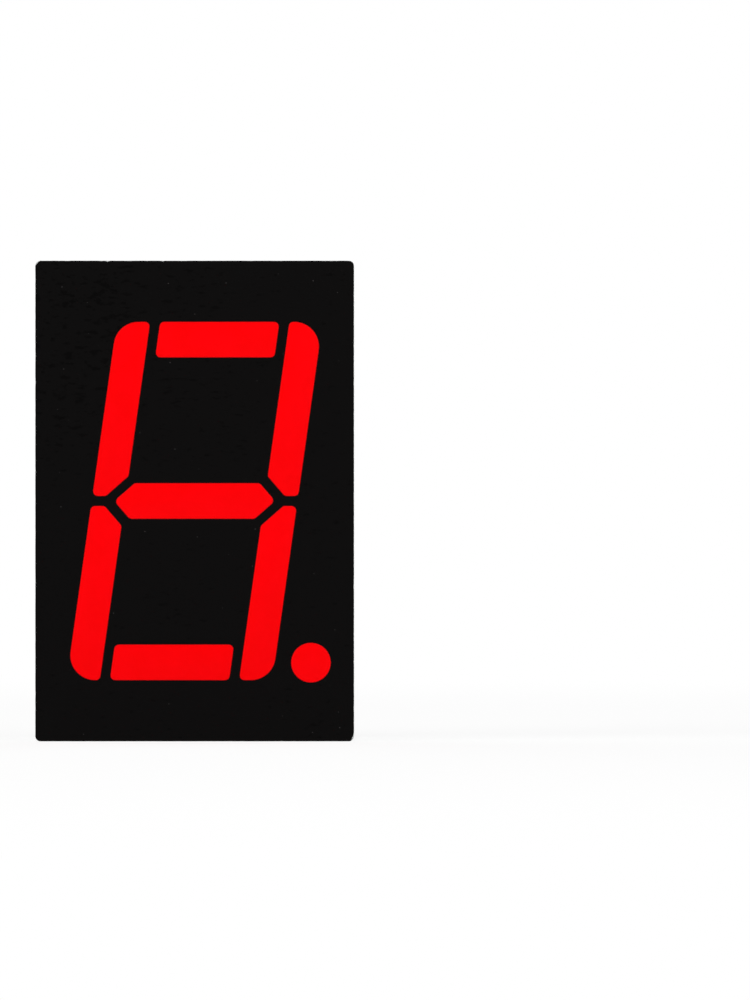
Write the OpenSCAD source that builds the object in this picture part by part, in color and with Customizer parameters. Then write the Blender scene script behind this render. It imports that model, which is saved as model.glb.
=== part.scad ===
// Seven segment LED display: one 0.56 inch digit with a decimal point and two rows of five pins.
// It is drawn upright, as it is read: the face looks along -Y, the pins leave along +Y, +Z is up.
// The origin is the centre of the pin grid, on the plane that the four corner feet seat on.

/* [Body] */
// Width of the moulded body
body_w = 12.6; // [12.4:0.1:16]
// Height of the moulded body
body_h = 19; // [18:0.1:24]
// Depth from the face to the seating plane
body_d = 8; // [7.6:0.1:12]
// Depth of the room behind the reflector block, up to the seating plane
back_room = 3.2; // [2.9:0.1:3.9]
// Radius of the body's four long edges
edge_r = 0.2; // [0.05:0.05:0.35]
// Thickness of the left and right walls around the potting
side_wall = 0.4; // [0.3:0.05:0.5]
// Thickness of the top and bottom walls around the potting
end_wall = 0.5; // [0.3:0.05:0.8]
// Thickness of the black ink on the face
ink_t = 0.05; // [0.02:0.01:0.15]

/* [Feet] */
// Height of the corner feet above the rim
foot_h = 0.6; // [0.3:0.05:0.9]
// Length of a foot's flat top along the top or bottom wall
foot_end_l = 1.5; // [0.8:0.1:3]
// Length of a foot's flat top along a side wall
foot_side_l = 1.8; // [0.8:0.1:3]
// Length of the slope at the end of each foot
foot_ramp = 0.5; // [0.2:0.1:1]

/* [Ribs and posts] */
// Radius of the half-round ribs on the side walls
rib_r = 0.58; // [0.3:0.01:0.65]
// Distance between the ribs of one wall
rib_pitch = 3.81; // [3:0.01:5]
// Diameter of the three locating posts
post_d = 1.13; // [0.8:0.01:1.3]
// Place of the post at the top, across and up
post_top = [-1.87, 6.3]; // [-7:0.01:7]
// Place of the post at the middle, across and up
post_middle = [3.18, 0.94]; // [-7:0.01:7]
// Place of the post at the bottom, across and up
post_bottom = [2.27, -5.7]; // [-7:0.01:7]
// Depth of potting left over the posts
post_cover = 0.12; // [0.05:0.01:0.3]

/* [Digit] */
// Height of the digit
digit_h = 14.2; // [13:0.1:14.8]
// Width of the digit, before it is slanted
digit_w = 8.17; // [7.5:0.01:8.6]
// Slant of the digit from upright
slant = 8; // [0:1:10]
// Width of the four side segments
stroke_v = 1.35; // [1:0.01:1.6]
// Thickness of the three level segments
stroke_h = 1.44; // [1:0.01:1.7]
// Gap between neighbouring segments
seg_gap = 0.36; // [0.25:0.01:0.6]
// How far the middle segment's points reach in between the side segments
tip_reach = 0.465; // [0.2:0.005:0.6]
// Radius of the digit's four outer corners
round_out = 1; // [0.5:0.05:1]
// Radius of every other corner of the segments
round_in = 0.2; // [0.05:0.01:0.25]
// Diameter of the decimal point
point_d = 1.6; // [1.3:0.1:1.8]
// Gap between the decimal point and the lower right segment
point_gap = 0.61; // [0.4:0.01:0.8]
// Height of the decimal point's centre above the foot of the digit
point_rise = 0.71; // [0.5:0.01:1.2]

/* [Reflector throats] */
// Depth over which the segment openings stay straight behind the face
land_d = 0.3; // [0.1:0.05:1]
// Length of a segment's opening at the circuit board
throat_l = 2; // [1.6:0.1:2.6]
// Width of a segment's opening at the circuit board
throat_w = 0.8; // [0.6:0.05:1.1]
// Diameter of the decimal point's opening at the circuit board
point_throat_d = 1.3; // [1.2:0.05:1.5]

/* [Light emitting diodes] */
// Width of a diode chip
die_w = 0.3; // [0.2:0.01:0.36]
// Height of a diode chip
die_h = 0.2; // [0.1:0.01:0.3]
// Distance from a chip to the pad that its wire is bonded to
wire_span = 0.6; // [0.5:0.01:0.7]
// Height of a bond wire's loop above its chip
wire_loop = 0.3; // [0.15:0.01:0.5]
// Diameter of a bond wire
wire_d = 0.03; // [0.02:0.005:0.05]

/* [Circuit board] */
// Thickness of the circuit board
board_t = 1; // [0.6:0.1:1.4]
// Clearance between the board and the walls, ribs and posts
board_clear = 0.15; // [0.05:0.01:0.25]
// Thickness of the copper
copper_t = 0.035; // [0.02:0.005:0.07]
// Width of the copper tracks
track_w = 0.25; // [0.15:0.01:0.35]
// Diameter of the copper pad under a chip
die_pad_d = 0.56; // [0.5:0.01:0.6]
// Diameter of the copper pad that a wire is bonded to
bond_pad_d = 0.34; // [0.25:0.01:0.4]
// Diameter of the copper pads around the pins
pin_pad_d = 1.1; // [1:0.01:1.2]
// Diameter of the two holes that let the potting through the board
flow_d = 2.15; // [1.5:0.05:2.4]
// Place of the upper flow hole, across and up
flow_upper = [1.19, 4.2]; // [-5:0.01:5]
// Place of the lower flow hole, across and up
flow_lower = [0.2, -1.9]; // [-5:0.01:5]

/* [Pins] */
// Diameter of the pins
pin_d = 0.5; // [0.4:0.01:0.55]
// Diameter of the pins at the reflector block, from where they taper up to the seating plane
root_d = 0.56; // [0.56:0.01:0.7]
// Pitch of the pins in a row
pin_pitch = 2.54; // [2.2:0.01:2.56]
// Distance between the two rows
row_gap = 15.24; // [14.8:0.01:16]
// Length of the pins beyond the seating plane
pin_out = 6; // [2.5:0.1:12]
// Length of the tapered tips
tip_l = 0.3; // [0.1:0.05:1]
// Diameter of the tapered tips' ends
tip_d = 0.26; // [0.1:0.01:0.35]
// Clearance between a pin's root and its hole in the board
root_clear = 0.08; // [0.02:0.01:0.12]
// Height of a solder joint
solder_h = 0.35; // [0.15:0.01:0.5]
// Diameter of a solder joint
solder_d = 1; // [0.8:0.01:1]

/* [Potting] */
// How far the potting's flat surface lies below the rim
fill_drop = 0.5; // [0.3:0.05:0.8]
// How high the potting climbs up the walls and ribs
wall_rise = 0.25; // [0.05:0.01:0.28]
// How far the climb at the walls reaches inwards
wall_run = 0.8; // [0.3:0.05:1.2]
// How high the potting climbs up the pins
ring_rise = 0.25; // [0.05:0.01:0.4]
// How far the climb at a pin reaches outwards
ring_run = 0.5; // [0.2:0.05:0.8]

/* [Hidden] */
$fn = 48;
eps = 0.01; // overshoot of a cut past the face that it goes through
corner_steps = 4; // steps of a small corner's arc
outer_steps = 12; // steps of a large corner's arc
climb_steps = 5; // steps of the potting's climb
loop_steps = 12; // steps of a bond wire's loop
wire_sides = 8;
pins_per_row = 5;
pin_count = 2 * pins_per_row;

// Depths of the layers along Y
block_d = body_d - back_room; // the reflector block, from the face to the back of its throats
face_y = -body_d;
ink_y = face_y + ink_t;
block_y = face_y + block_d;
board_front_y = block_y + copper_t;
board_back_y = board_front_y + board_t;
pad_back_y = board_back_y + copper_t;
rim_y = -foot_h;
fill_y = rim_y - fill_drop;

// The space inside the walls
inner_w = body_w - 2 * side_wall;
inner_h = body_h - 2 * end_wall;

// The digit, before it is slanted
top_z = digit_h / 2;
outer_x = digit_w / 2;
inner_x = outer_x - stroke_v;
bar_x = inner_x - seg_gap;
tip_x = inner_x + tip_reach;
notch = tip_x + seg_gap * sqrt(2); // where the side segments' sloping ends would meet the middle line
half_gap = seg_gap / 2;
side_l = top_z - half_gap;

function lean(p) = [p[0] + p[1] * tan(slant), p[1]];
point_z = -top_z + point_rise;
point_at = [outer_x + point_z * tan(slant) + point_gap + point_d / 2, point_z];

// The corners of a segment, each as across, up, radius and steps of its arc, anticlockwise
small = [round_in, corner_steps];
large = [round_out, outer_steps];
upper_right = [
    [notch - half_gap, half_gap, small[0], small[1]],
    [outer_x, half_gap, small[0], small[1]],
    [outer_x, top_z, large[0], large[1]],
    [inner_x, top_z, small[0], small[1]],
    [inner_x, notch - inner_x, small[0], small[1]]
];
top_bar = [
    [-bar_x, top_z - stroke_h, small[0], small[1]],
    [bar_x, top_z - stroke_h, small[0], small[1]],
    [bar_x, top_z, small[0], small[1]],
    [-bar_x, top_z, small[0], small[1]]
];
middle_bar = [
    for (side = [1, -1])
        for (p = [[tip_x, 0], [tip_x - stroke_h / 2, stroke_h / 2], [stroke_h / 2 - tip_x, stroke_h / 2]])
            [side * p[0], side * p[1], small[0], small[1]]
];
function flip_x(corners) = [
    for (i = [len(corners) - 1:-1:0]) [-corners[i][0], corners[i][1], corners[i][2], corners[i][3]]
];
function flip_z(corners) = [
    for (i = [len(corners) - 1:-1:0]) [corners[i][0], -corners[i][1], corners[i][2], corners[i][3]]
];

// Every diode: its name, its segment's corners, that segment's middle and size, whether it stands
// upright, the way that its wire goes, as an angle in the face, and its pin
side_middle = [outer_x - stroke_v / 2, half_gap + side_l / 2];
bar_middle = [0, top_z - stroke_h / 2];
side_size = [stroke_v, side_l];
bar_size = [2 * bar_x, stroke_h];
leds = [
    ["a", top_bar, bar_middle, bar_size, false, 0, 7],
    ["b", upper_right, side_middle, side_size, true, 90, 6],
    ["c", flip_z(upper_right), [side_middle[0], -side_middle[1]], side_size, true, 270, 4],
    ["d", flip_z(top_bar), -bar_middle, bar_size, false, 180, 2],
    ["e", flip_z(flip_x(upper_right)), -side_middle, side_size, true, 270, 1],
    ["f", flip_x(upper_right), [-side_middle[0], side_middle[1]], side_size, true, 90, 9],
    ["g", middle_bar, [0, 0], [2 * tip_x, stroke_h], false, 180, 10],
    ["dp", [], point_at, [point_d, point_d], false, 0, 5]
];
point = len(leds) - 1;
letters = [for (led = leds) led[0]];

// Places

// Pins 1 to 5 run along the bottom from the left, and 6 to 10 back along the top, seen from the face.
function pin_at(n) = n <= pins_per_row
    ? [(n - (pins_per_row + 1) / 2) * pin_pitch, -row_gap / 2]
    : [(pins_per_row + (pins_per_row + 1) / 2 - n) * pin_pitch, row_gap / 2];

posts = [post_top, post_middle, post_bottom];
flow_holes = [flow_upper, flow_lower];
rib_places = [for (side = [-1, 1]) for (i = [-1:1]) [side * inner_w / 2, i * rib_pitch]];

// A chip sits a third of its wire's span to one side of its opening's middle, and the pad the rest.
function led_centre(k) = k == point ? leds[k][2] : lean(leds[k][2]);
function wire_way(k) = [cos(leds[k][5]), sin(leds[k][5])];
function die_at(k) = led_centre(k) - wire_way(k) * wire_span / 3;
function bond_at(k) = led_centre(k) + wire_way(k) * wire_span * 2 / 3;

// Outlines

function unit(v) = v / norm(v);

// The arc that rounds the corner p between the points before and after it.
function round_corner(p, before, after, r, steps) =
    let (
        u = unit(before - p),
        v = unit(after - p),
        half = acos(u * v) / 2,
        middle = p + unit(u + v) * r / sin(half),
        from = p + u * r / tan(half) - middle,
        to = p + v * r / tan(half) - middle,
        start = atan2(from[1], from[0]),
        turn = (atan2(to[1], to[0]) - start + 540) % 360 - 180
    )
    [for (i = [0:steps]) middle + r * [cos(start + turn * i / steps), sin(start + turn * i / steps)]];

function round_path(points, radii, steps) = [
    for (i = [0:len(points) - 1])
        each round_corner(
            points[i],
            points[(i + len(points) - 1) % len(points)],
            points[(i + 1) % len(points)],
            radii[i],
            steps[i]
        )
];

// A segment's outline, squeezed about its middle before it is slanted.
function segment_outline(k, squeeze = [1, 1], shrink = 1) =
    let (corners = leds[k][1], middle = leds[k][2])
    round_path(
        [
            for (c = corners)
                lean([
                    middle[0] + (c[0] - middle[0]) * squeeze[0],
                    middle[1] + (c[1] - middle[1]) * squeeze[1]
                ])
        ],
        [for (c = corners) c[2] * shrink],
        [for (c = corners) c[3]]
    );

// Its outline at the circuit board, with as many points.
function throat_outline(k) =
    let (size = leds[k][3], upright = leds[k][4])
    segment_outline(
        k,
        upright ? [throat_w / size[0], throat_l / size[1]] : [throat_l / size[0], throat_w / size[1]],
        upright ? throat_w / size[0] : throat_w / size[1]
    );

// Both sides of a track of width w, mitred at its bends.
function way(points, i) = unit(points[i + 1] - points[i]);
function left_of(v) = [-v[1], v[0]];
function track_side(points, w, side) = [
    for (i = [0:len(points) - 1])
        let (
            before = left_of(way(points, max(i - 1, 0))),
            after = left_of(way(points, min(i, len(points) - 2)))
        )
        points[i] + side * (before + after) / (1 + before * after) * w / 2
];
function reversed(list) = [for (i = [len(list) - 1:-1:0]) list[i]];

module body_outline() {
    x = body_w / 2;
    z = body_h / 2;
    polygon(round_path(
        [[-x, -z], [x, -z], [x, z], [-x, z]],
        [for (i = [1:4]) edge_r],
        [for (i = [1:4]) corner_steps]
    ));
}

module track(points) {
    polygon(concat(track_side(points, track_w, 1), reversed(track_side(points, track_w, -1))));
}

// Placing

// What is drawn flat is set up in the plane of the face at depth y, and rises towards the face.
module face_up(y) {
    translate([0, y, 0]) rotate([90, 0, 0]) children();
}

// The same, but rising towards the pins.
module back_up(y) {
    translate([0, y, 0]) rotate([90, 0, 0]) mirror([0, 0, 1]) children();
}

module between(y_front, y_back) {
    back_up(y_front) linear_extrude(y_back - y_front) children();
}

module round_bar(place, d, y_front, y_back) {
    back_up(y_front) translate([place[0], place[1], 0]) cylinder(d = d, h = y_back - y_front);
}

// A closed solid through rings of points, all with as many points and listed from the lowest.
module skin(rings) {
    n = len(rings[0]);
    last = len(rings) - 1;
    polyhedron(
        points = [for (ring = rings) each ring],
        faces = concat(
            [[for (i = [0:n - 1]) i]],
            [[for (i = [n - 1:-1:0]) last * n + i]],
            [
                for (k = [0:last - 1])
                    for (i = [0:n - 1])
                        for (half = [0, 1])
                            let (a = k * n + i, b = k * n + (i + 1) % n)
                            half == 0 ? [a, a + n, b + n] : [a, b + n, b]
            ]
        )
    );
}

function at_height(outline, h) = [for (p = outline) [p[0], p[1], h]];

// The light's way: one opening for each segment

// The opening's shape, from the throat at the board to the face, and past the throat by extra.
module opening(k, extra = 0) {
    taper_h = block_d - land_d;
    face_up(block_y)
        if (k == point) {
            translate([point_at[0], point_at[1], 0]) {
                cylinder(d1 = point_throat_d, d2 = point_d, h = taper_h);
                translate([0, 0, taper_h]) cylinder(d = point_d, h = land_d);
                if (extra > 0) translate([0, 0, -extra]) cylinder(d = point_throat_d, h = extra);
            }
        } else {
            throat = throat_outline(k);
            front = segment_outline(k);
            skin(concat(
                extra > 0 ? [at_height(throat, -extra)] : [],
                [at_height(throat, 0), at_height(front, taper_h), at_height(front, block_d)]
            ));
        }
}

module die_shape(k, extra = 0) {
    at = die_at(k);
    face_up(block_y)
        translate([at[0] - die_w / 2, at[1] - die_w / 2, -extra])
            cube([die_w, die_w, die_h + extra]);
}

// A bond wire leaves its chip upright, turns over in a loop and comes down on its pad.
module wire_shape(k, extra = 0) {
    from = die_at(k);
    across = wire_way(k);
    beside = -left_of(across);
    radius = wire_span / 2;
    stations = concat(
        [
            for (i = [0:loop_steps])
                let (turn = 180 * i / loop_steps)
                [radius - radius * cos(turn), die_h + wire_loop * sin(turn), -cos(turn), sin(turn)]
        ],
        [[wire_span, -extra, 1, 0]]
    );
    rings = [
        for (s = stations)
            [
                for (j = [0:wire_sides - 1])
                    let (
                        out = cos(360 * j / wire_sides) * wire_d / 2,
                        along = sin(360 * j / wire_sides) * wire_d / 2,
                        flat = from + across * (s[0] + out * s[2]) + beside * along
                    )
                    [flat[0], flat[1], s[1] + out * s[3]]
            ]
    ];
    face_up(block_y) skin(rings);
}

// The moulded reflector housing

module foot() {
    intersection() {
        between(rim_y - eps, 0) body_outline();
        union() {
            // along the end wall
            translate([0, 0, body_h / 2 - end_wall])
                linear_extrude(end_wall)
                    polygon([
                        [body_w / 2, rim_y - eps],
                        [body_w / 2, 0],
                        [body_w / 2 - foot_end_l, 0],
                        [body_w / 2 - foot_end_l - foot_ramp, rim_y],
                        [body_w / 2 - foot_end_l - foot_ramp, rim_y - eps]
                    ]);
            // along the side wall
            translate([body_w / 2 - side_wall, 0, 0])
                rotate([90, 0, 90])
                    linear_extrude(side_wall)
                        polygon([
                            [rim_y - eps, body_h / 2],
                            [0, body_h / 2],
                            [0, body_h / 2 - foot_side_l],
                            [rim_y, body_h / 2 - foot_side_l - foot_ramp],
                            [rim_y - eps, body_h / 2 - foot_side_l - foot_ramp]
                        ]);
        }
    }
}

module rib(k, y_front, y_back, grow = 0) {
    round_bar(rib_places[k], 2 * (rib_r + grow), y_front, y_back);
}

module housing() {
    color([0.89, 0.9, 0.89]) difference() {
        union() {
            difference() {
                between(ink_y, rim_y) body_outline();
                between(block_y, rim_y + eps) square([inner_w, inner_h], center = true);
            }
            intersection() {
                between(block_y - eps, rim_y) square([body_w - side_wall, inner_h], center = true);
                union() for (k = [0:len(rib_places) - 1]) rib(k, block_y - eps, rim_y);
            }
            for (place = posts) round_bar(place, post_d, block_y - eps, fill_y - post_cover);
            for (side = [0, 1]) for (end = [0, 1])
                mirror([side, 0, 0]) mirror([0, 0, end]) foot();
        }
        for (k = [0:point]) opening(k, eps);
    }
}

module face_ink() {
    color([0.05, 0.05, 0.05]) between(face_y, ink_y) difference() {
        body_outline();
        for (k = [0:point - 1]) polygon(segment_outline(k));
        translate(point_at) circle(d = point_d);
    }
}

// The red epoxy in one opening, cast around its chip and wire.
module epoxy(k) {
    color([1, 0, 0.02]) difference() {
        opening(k);
        die_shape(k, eps);
        wire_shape(k, eps);
    }
}

module led_die(k) {
    color([0.75, 0.45, 0.1]) die_shape(k);
}

module bond_wire(k) {
    color([0.95, 0.75, 0.3]) wire_shape(k);
}

// The circuit board

module circuit_board() {
    color([0.06, 0.07, 0.09]) difference() {
        between(board_front_y, board_back_y)
            square([inner_w - 2 * board_clear, inner_h - 2 * board_clear], center = true);
        for (k = [0:len(rib_places) - 1]) rib(k, board_front_y - eps, board_back_y + eps, board_clear);
        for (place = posts)
            round_bar(place, post_d + 2 * board_clear, board_front_y - eps, board_back_y + eps);
        for (place = flow_holes) round_bar(place, flow_d, board_front_y - eps, board_back_y + eps);
        for (n = [1:pin_count])
            round_bar(pin_at(n), root_d + 2 * root_clear, board_front_y - eps, board_back_y + eps);
    }
}

// Routes of the tracks: each signal runs from its bond pad to its pin, past the posts.
left_x = -4.7; // the middle segment's track, beside the left wall
post_pass = 1.1; // how far a track keeps from the middle of a post
function beside_post(at, way) = [at + [0, way], at - [0, way * 0.7]];
function signal(k) =
    let (from = bond_at(k), to = pin_at(leds[k][6]), letter = letters[k])
    letter == "g" ? [from, [left_x, from[1]], [left_x, to[1] - 1], to]
    : letter == "f" ? concat([from], beside_post(post_top - [post_pass, 0], -1), [to])
    : letter == "c" ? concat([from], beside_post(post_bottom + [post_pass, 0], 1), [to])
    : [from, to];

// The common track runs from the top middle pin to the bottom middle pin, around the flow holes.
hole_pass = 1.6; // how far the common track keeps from the middle of a flow hole
upper_x = flow_upper[0] - hole_pass;
lower_x = flow_lower[0] + hole_pass;
foot_x = 0.8; // where the common track comes down to the bottom row
function die_named(letter) = die_at(search([letter], letters)[0]);
common = [
    [pin_at(8), [upper_x, pin_at(8)[1] - 0.8], [upper_x, die_named("b")[1] - 1], die_named("g")],
    [die_named("g"), [lower_x, die_named("g")[1] - 0.7], [lower_x, die_named("c")[1]]],
    [die_named("e"), [foot_x, die_named("e")[1]], [foot_x, pin_at(3)[1] + 1], pin_at(3)],
    [[foot_x, die_named("c")[1]], [die_named("dp")[0], die_named("c")[1]], die_named("dp")],
    [[upper_x, die_named("a")[1]], die_named("a")],
    [[upper_x, die_named("f")[1]], die_named("f")],
    [[upper_x, die_named("b")[1] - 1], [die_named("b")[0], die_named("b")[1] - 1], die_named("b")],
    [[foot_x, die_named("d")[1]], die_named("d")]
];

module copper_front() {
    color([0.8, 0.5, 0.3]) difference() {
        union() {
            for (route = common) between(block_y, board_front_y) track(route);
            for (k = [0:point]) {
                between(block_y, board_front_y) track(signal(k));
                round_bar(die_at(k), die_pad_d, block_y, board_front_y);
                round_bar(bond_at(k), bond_pad_d, block_y, board_front_y);
            }
            for (n = [1:pin_count]) round_bar(pin_at(n), pin_pad_d, block_y, board_front_y);
        }
        for (n = [1:pin_count]) pin_root(n, eps);
    }
}

module back_pad(n, extra = 0) {
    round_bar(pin_at(n), pin_pad_d, board_back_y - extra, pad_back_y);
}

module copper_back() {
    color([0.8, 0.5, 0.3]) for (n = [1:pin_count]) difference() {
        back_pad(n);
        pin_root(n);
    }
}

// Pins

// A pin's tapered root, from the reflector block to the seating plane, and past the block by extra.
module pin_root(n, extra = 0) {
    at = pin_at(n);
    back_up(block_y) translate([at[0], at[1], 0]) cylinder(d1 = root_d, d2 = pin_d, h = -block_y);
    if (extra > 0) round_bar(at, root_d, block_y - extra, block_y);
}

module pin(n) {
    at = pin_at(n);
    color([0.72, 0.72, 0.71]) {
        pin_root(n);
        round_bar(at, pin_d, 0, pin_out - tip_l);
        back_up(pin_out - tip_l) translate([at[0], at[1], 0]) cylinder(d1 = pin_d, d2 = tip_d, h = tip_l);
    }
}

module solder_cone(n) {
    at = pin_at(n);
    back_up(pad_back_y) translate([at[0], at[1], 0])
        cylinder(d1 = solder_d, d2 = root_d + 2 * root_clear, h = solder_h);
}

module solder_joint(n) {
    color([0.6, 0.61, 0.62]) difference() {
        solder_cone(n);
        pin_root(n);
    }
}

// The dark potting at the back

// The section of the climb against an upright face: across from the face, then up.
sink = 0.05; // how far the climb's foot goes down into the flat of the potting
function climb(run, rise) = concat(
    [[0, -sink]],
    [for (i = [0:climb_steps]) [run * i / climb_steps, rise * pow(1 - i / climb_steps, 2)]],
    [[run, -sink]]
);

module wall_climb(length) {
    linear_extrude(length) polygon(climb(wall_run, wall_rise));
}

module ring_climb(place, r, run, rise) {
    tuck = r * 0.9; // the ring starts a little inside what it surrounds
    back_up(fill_y) translate([place[0], place[1], 0])
        rotate_extrude() polygon([for (p = climb(run + r - tuck, rise)) [p[0] + tuck, p[1]]]);
}

module back_potting() {
    color([0.07, 0.08, 0.11]) difference() {
        union() {
            intersection() {
                between(board_back_y, rim_y) square([inner_w, inner_h], center = true);
                union() {
                    between(board_back_y, fill_y) square([inner_w, inner_h], center = true);
                    translate([-inner_w / 2, fill_y, -inner_h / 2]) wall_climb(inner_h);
                    translate([inner_w / 2, fill_y, -inner_h / 2]) mirror([1, 0, 0]) wall_climb(inner_h);
                    translate([-inner_w / 2, fill_y, inner_h / 2]) rotate([0, 90, 0]) wall_climb(inner_w);
                    translate([inner_w / 2, fill_y, -inner_h / 2]) rotate([0, -90, 0]) wall_climb(inner_w);
                    for (place = rib_places) ring_climb(place, rib_r, wall_run, wall_rise);
                    for (n = [1:pin_count]) ring_climb(pin_at(n), root_d / 2, ring_run, ring_rise);
                }
            }
            for (place = flow_holes) round_bar(place, flow_d, block_y, board_back_y + eps);
        }
        for (k = [0:len(rib_places) - 1]) rib(k, board_back_y - eps, rim_y + eps);
        for (place = posts) round_bar(place, post_d, board_back_y - eps, fill_y - post_cover);
        for (n = [1:pin_count]) {
            pin_root(n);
            back_pad(n, eps);
            solder_cone(n);
        }
    }
}

// The part

housing();
face_ink();
for (k = [0:point - 1]) epoxy(k);
epoxy(point);  // decimal_point
circuit_board();
copper_front();
copper_back();
for (k = [0:point]) {
    led_die(k);
    bond_wire(k);
}
for (n = [1:pin_count]) {
    pin(n);
    solder_joint(n);
}
back_potting();
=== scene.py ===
import math

import bmesh
import bpy
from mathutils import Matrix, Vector, noise


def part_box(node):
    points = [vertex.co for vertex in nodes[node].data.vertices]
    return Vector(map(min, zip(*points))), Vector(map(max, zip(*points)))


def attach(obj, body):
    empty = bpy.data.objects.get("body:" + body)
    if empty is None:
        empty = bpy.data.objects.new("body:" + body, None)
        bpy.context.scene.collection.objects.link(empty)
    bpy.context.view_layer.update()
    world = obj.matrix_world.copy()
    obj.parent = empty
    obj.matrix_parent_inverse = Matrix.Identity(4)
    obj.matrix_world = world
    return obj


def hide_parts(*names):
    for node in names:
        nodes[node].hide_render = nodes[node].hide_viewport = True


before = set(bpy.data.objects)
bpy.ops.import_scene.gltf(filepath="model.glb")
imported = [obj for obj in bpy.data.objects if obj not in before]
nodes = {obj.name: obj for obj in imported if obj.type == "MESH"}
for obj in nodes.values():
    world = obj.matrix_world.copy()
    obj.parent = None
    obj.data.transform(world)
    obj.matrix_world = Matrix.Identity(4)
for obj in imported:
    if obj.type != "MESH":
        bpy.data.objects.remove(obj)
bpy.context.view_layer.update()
mm = 0.001
print("frame loaded:", len(nodes), "nodes")

# what the other places are worked out from
bodyLow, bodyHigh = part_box("housing")
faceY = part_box("face_ink")[0].y
rimY = bodyHigh.y
resinLow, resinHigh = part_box("back_potting")
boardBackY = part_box("circuit_board")[1].y
pinNames = sorted((name for name in nodes if name.startswith("pin_")), key=lambda name: int(name[4:]))
segmentNames = sorted(name for name in nodes if name.startswith("segment_"))
pickSlack = 0.01 * mm  # how far off a face or an edge may lie and still be picked by its place
facing = 0.9  # a face looks a way when that much of its normal points there
weldGap = 0.001 * mm  # points nearer to each other than this count as one


# handling pieces

def deselectAll():
    if bpy.context.mode != "OBJECT":
        bpy.ops.object.mode_set(mode="OBJECT")
    bpy.ops.object.select_all(action="DESELECT")


def makeActive(piece):
    deselectAll()
    piece.select_set(True)
    bpy.context.view_layer.objects.active = piece


def editPiece(piece):
    makeActive(piece)
    bpy.ops.object.mode_set(mode="EDIT")
    bpy.ops.mesh.select_all(action="DESELECT")


def newPiece(name, mesh):
    mesh.name = name
    piece = bpy.data.objects.new(name, mesh)
    bpy.context.scene.collection.objects.link(piece)
    return piece


def copyOfNode(nodeName, pieceName):
    # a copy of a CAD node whose loose triangles are joined up
    piece = newPiece(pieceName, nodes[nodeName].data.copy())
    piece.data.materials.clear()
    editPiece(piece)
    bpy.ops.mesh.select_all(action="SELECT")
    bpy.ops.mesh.customdata_custom_splitnormals_clear()
    bpy.ops.mesh.remove_doubles(threshold=weldGap)
    bpy.ops.mesh.select_all(action="DESELECT")
    return piece


def pickFaces(piece, test):
    bpy.ops.mesh.select_mode(type="FACE")
    shape = bmesh.from_edit_mesh(piece.data)
    for face in shape.faces:
        face.select_set(test(face.calc_center_median(), face.normal))
    bmesh.update_edit_mesh(piece.data)


def pickEdges(piece, test):
    bpy.ops.mesh.select_mode(type="EDGE")
    shape = bmesh.from_edit_mesh(piece.data)
    for edge in shape.edges:
        edge.select_set(test(edge))
    bmesh.update_edit_mesh(piece.data)


def shadeSmooth(piece, angle):
    makeActive(piece)
    bpy.ops.object.shade_smooth_by_angle(angle=math.radians(angle))


def settle(piece, slotName, finish, *replaced):
    deselectAll()
    piece.data.materials.clear()
    piece.data.materials.append(finish)
    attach(piece, "root")
    if replaced:
        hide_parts(*replaced)


def applyModifiers(piece):
    makeActive(piece)
    for modifier in list(piece.modifiers):
        bpy.ops.object.modifier_apply(modifier=modifier.name)


# shader maths

class Wire:
    # a socket of a node tree; a sum or product of wires adds Math nodes
    def __init__(self, tree, socket=None):
        self.tree = tree
        self.socket = socket

    def node(self, kind, settings=None, sockets=(), output=None):
        made = self.tree.nodes.new("ShaderNode" + kind)
        for key, value in (settings or {}).items():
            setattr(made, key, value)
        usable = [socket for socket in made.inputs if socket.enabled]
        named = {socket.name: socket for socket in usable}
        pairs = sockets.items() if isinstance(sockets, dict) else enumerate(sockets)
        for key, value in pairs:
            socket = named[key] if isinstance(key, str) else usable[key]
            if isinstance(value, Wire):
                self.tree.links.new(value.socket, socket)
            else:
                socket.default_value = value
        if output:
            return Wire(self.tree, made.outputs[output])
        results = [socket for socket in made.outputs if socket.enabled]
        return Wire(self.tree, results[0] if results else None)

    def other(self, output):
        return Wire(self.tree, self.socket.node.outputs[output])

    def maths(self, operation, *operands):
        return self.node("Math", {"operation": operation}, operands)

    def __add__(self, other):
        return self.maths("ADD", self, other)

    def __radd__(self, other):
        return self.maths("ADD", other, self)

    def __sub__(self, other):
        return self.maths("SUBTRACT", self, other)

    def __rsub__(self, other):
        return self.maths("SUBTRACT", other, self)

    def __mul__(self, other):
        return self.maths("MULTIPLY", self, other)

    def __rmul__(self, other):
        return self.maths("MULTIPLY", other, self)

    def __truediv__(self, other):
        return self.maths("DIVIDE", self, other)

    def __rtruediv__(self, other):
        return self.maths("DIVIDE", other, self)

    def __gt__(self, other):
        return self.maths("GREATER_THAN", self, other)

    def __lt__(self, other):
        return self.maths("LESS_THAN", self, other)

    def __neg__(self):
        return self * -1

    def __abs__(self):
        return self.maths("ABSOLUTE", self)

    def least(self, other):
        return self.maths("MINIMUM", self, other)

    def most(self, other):
        return self.maths("MAXIMUM", self, other)

    def smooth(self, start, end):
        # from 0 at start to 1 at end
        return self.node("MapRange", {"interpolation_type": "SMOOTHSTEP"}, [self, start, end, 0, 1])

    def within(self, outerStart, innerStart, innerEnd, outerEnd):
        # 1 between the inner places and 0 outside the outer ones
        return self.smooth(outerStart, innerStart) * self.smooth(outerEnd, innerEnd)

    def fade(self, length):
        # 1 at or under 0, and dying away over that length
        return self.maths("EXPONENT", self.most(0) * (-1 / length))

    def blend(self, first, second):
        # the first colour where this wire is 0, the second where it is 1
        colours = [shade if isinstance(shade, Wire) else (*shade, 1) for shade in (first, second)]
        return self.node("Mix", {"data_type": "RGBA"}, [self, *colours])


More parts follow.
